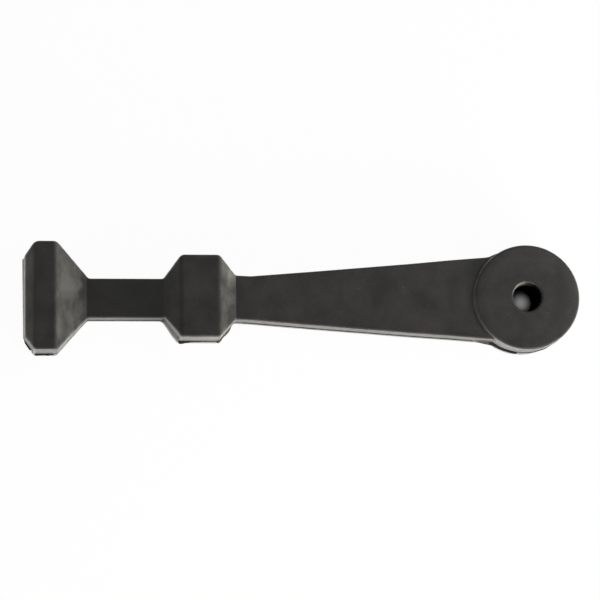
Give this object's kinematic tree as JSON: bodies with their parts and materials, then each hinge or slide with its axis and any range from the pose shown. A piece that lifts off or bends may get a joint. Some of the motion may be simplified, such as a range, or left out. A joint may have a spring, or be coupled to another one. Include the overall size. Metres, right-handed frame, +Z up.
{
  "type": "rubber draw latch strap",
  "caption": "Moulded black rubber draw-latch strap with a T finger grip, a faceted catch block and a round eye bored for a pivot pin; it bends, twists and stretches.",
  "frame": {"origin": "centre of the pivot bore at mid-thickness, on the mould parting plane", "axes": "+Z up the bore, out of its lead-in; the strap reaches out along -X to the T grip; +Y across the strap"},
  "size_m": [0.1432, 0.028, 0.0146],
  "materials": {
    "moulded_rubber": "matt compression-moulded black EPDM, with a faint grey bloom"
  },
  "bodies": {
    "eye": {"pivot_eye": "moulded_rubber", "strap_flex_1": "moulded_rubber"},
    "strap_1": {"strap_section_1": "moulded_rubber", "strap_flex_2": "moulded_rubber"},
    "strap_2": {"strap_section_2": "moulded_rubber"},
    "strap_3": {"strap_section_3": "moulded_rubber", "stretch_span": "moulded_rubber"},
    "strap_4": {"strap_section_4": "moulded_rubber", "strap_flex_3": "moulded_rubber"},
    "strap_5": {"strap_section_5": "moulded_rubber", "strap_flex_4": "moulded_rubber"},
    "catch": {"catch_block": "moulded_rubber", "neck_lift_flex": "moulded_rubber"},
    "neck_1": {"neck_section_1": "moulded_rubber"},
    "neck_2": {"neck_section_2": "moulded_rubber", "neck_sway_flex": "moulded_rubber"},
    "grip": {"tee_grip": "moulded_rubber"}
  },
  "joints": [
    {"name": "strap_bend", "type": "hinge", "parent": "eye", "child": "strap_1", "pos_m": [-0.0193, 0, 0], "axis": [0, 1, 0], "range_deg": [-22.5, 22.5], "stiffness_Nm_per_rad": 0.5192, "deforming": ["strap_flex_1"]},
    {"name": "strap_bend_2", "type": "hinge", "parent": "strap_1", "child": "strap_2", "pos_m": [-0.0288, 0, 0], "axis": [0, 1, 0], "range_deg": [-22.5, 22.5], "stiffness_Nm_per_rad": 0.2307, "deforming": ["strap_flex_2"]},
    {"name": "strap_twist", "type": "hinge", "parent": "strap_2", "child": "strap_3", "pos_m": [-0.0365, 0, 0], "axis": [1, 0, 0], "range_deg": [-45, 45], "stiffness_Nm_per_rad": 0.0584},
    {"name": "strap_stretch", "type": "slide", "parent": "strap_3", "child": "strap_4", "axis": [-1, 0, 0], "range_m": [0, 0.012], "stiffness_N_per_m": 9576, "deforming": ["stretch_span"]},
    {"name": "strap_bend_3", "type": "hinge", "parent": "strap_4", "child": "strap_5", "pos_m": [-0.0601, 0, 0], "axis": [0, 1, 0], "range_deg": [-22.5, 22.5], "stiffness_Nm_per_rad": 0.1775, "deforming": ["strap_flex_3"]},
    {"name": "strap_bend_4", "type": "hinge", "parent": "strap_5", "child": "catch", "pos_m": [-0.0716, 0, 0], "axis": [0, 1, 0], "range_deg": [-22.5, 22.5], "stiffness_Nm_per_rad": 0.3273, "deforming": ["strap_flex_4"]},
    {"name": "grip_lift", "type": "hinge", "parent": "catch", "child": "neck_1", "pos_m": [-0.097, 0, 0], "axis": [0, 1, 0], "range_deg": [-60, 60], "stiffness_Nm_per_rad": 0.0765, "deforming": ["neck_lift_flex"]},
    {"name": "grip_twist", "type": "hinge", "parent": "neck_1", "child": "neck_2", "pos_m": [-0.10355, 0, 0], "axis": [1, 0, 0], "range_deg": [-45, 45], "stiffness_Nm_per_rad": 0.0558},
    {"name": "grip_sway", "type": "hinge", "parent": "neck_2", "child": "grip", "pos_m": [-0.1101, 0, 0], "axis": [0, 0, 1], "range_deg": [-35, 35], "stiffness_Nm_per_rad": 0.1405, "deforming": ["neck_sway_flex"]}
  ],
  "couplings": [
    {"joint": "strap_bend_2", "follows": "strap_bend", "ratio": 1},
    {"joint": "strap_bend_3", "follows": "strap_bend", "ratio": 1},
    {"joint": "strap_bend_4", "follows": "strap_bend", "ratio": 1}
  ]
}
